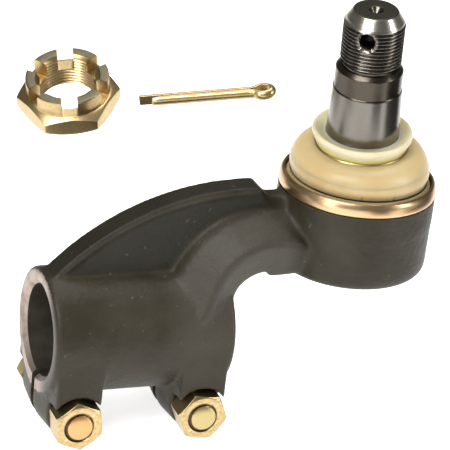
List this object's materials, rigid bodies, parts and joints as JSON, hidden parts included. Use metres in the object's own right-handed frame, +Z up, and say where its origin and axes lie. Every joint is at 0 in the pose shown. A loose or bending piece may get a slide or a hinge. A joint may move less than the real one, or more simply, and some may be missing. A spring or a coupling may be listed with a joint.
{
  "type": "tie rod end",
  "caption": "Forged gooseneck tie rod end with a split clamp tube, a booted ball joint stud, and its slotted nut and split pin alongside.",
  "frame": {"origin": "centre of the ball, which the stud swings about", "axes": "+Z up the ball housing's axis (the stud stands about 6.4 degrees off it at rest); the clamp tube lies towards -X with its axis along X; the clamp nuts are on the -Y side"},
  "size_m": [0.1586, 0.1145, 0.1741],
  "materials": {
    "forging": "satin black-oiled forging, slightly rough",
    "bare_machined": "turned",
    "oiled_steel": "dark oiled, fine turned",
    "yellow_zinc": "yellow chromated zinc plating",
    "ring_zinc": "yellow chromated zinc plating, iridescent",
    "boot_rubber": "translucent amber polyurethane",
    "lip_rubber": "translucent pale polyurethane",
    "seat_plastic": "natural acetal",
    "spring_steel": "oiled spring steel",
    "seal_rubber": "matt"
  },
  "bodies": {
    "housing": {"forged_body": "forging", "upper_bearing_seat": "seat_plastic", "lower_bearing_seat": "seat_plastic", "preload_spring": "spring_steel", "cover_plate": "bare_machined", "cover_seal_ring": "seal_rubber", "cover_circlip": "spring_steel", "boot_retaining_ring": "ring_zinc", "boot_bead_wire": "spring_steel", "clamp_bolt_left": "yellow_zinc", "clamp_bolt_right": "yellow_zinc"},
    "boot_middle": {"dust_boot": "boot_rubber"},
    "boot_top": {"boot_lip_ring": "lip_rubber", "boot_neck_wire": "yellow_zinc"},
    "stud": {"ball_stud": "oiled_steel"},
    "left_nut": {"clamp_nut_left": "yellow_zinc"},
    "right_nut": {"clamp_nut_right": "yellow_zinc"},
    "slotted_nut": {"castle_nut": "yellow_zinc"},
    "cotter": {"split_pin": "yellow_zinc"}
  },
  "joints": [
    {"name": "swing_side", "type": "hinge", "parent": "housing", "child": "boot_middle", "pos_m": [0, 0, 0], "axis": [1, 0, 0], "range_deg": [-21.1, 10.9], "deforming": ["dust_boot"]},
    {"name": "swing_fore", "type": "hinge", "parent": "boot_middle", "child": "boot_top", "pos_m": [0, 0, 0], "axis": [0, 0.996, 0.0896], "range_deg": [-12.2, 19.8]},
    {"name": "stud_spin", "type": "hinge", "parent": "boot_top", "child": "stud", "pos_m": [0, 0, 0], "axis": [-0.0658, -0.0894, 0.9938], "continuous": true},
    {"name": "left_nut_turn", "type": "hinge", "parent": "housing", "child": "left_nut", "pos_m": [-0.116, -0.0275, -0.0748], "axis": [0, -1, 0], "continuous": true},
    {"name": "right_nut_turn", "type": "hinge", "parent": "housing", "child": "right_nut", "pos_m": [-0.0652, -0.0275, -0.0748], "axis": [0, -1, 0], "continuous": true},
    {"name": "slotted_nut_turn", "type": "hinge", "parent": "housing", "child": "slotted_nut", "pos_m": [-0.1015, 0.0624, 0.0275], "axis": [-0.2351, -0.2874, 0.9285], "continuous": true},
    {"name": "split_pin_slide", "type": "slide", "parent": "housing", "child": "cotter", "axis": [0.9311, -0.317, 0.1805], "range_m": [-0.005, 0.02]}
  ]
}
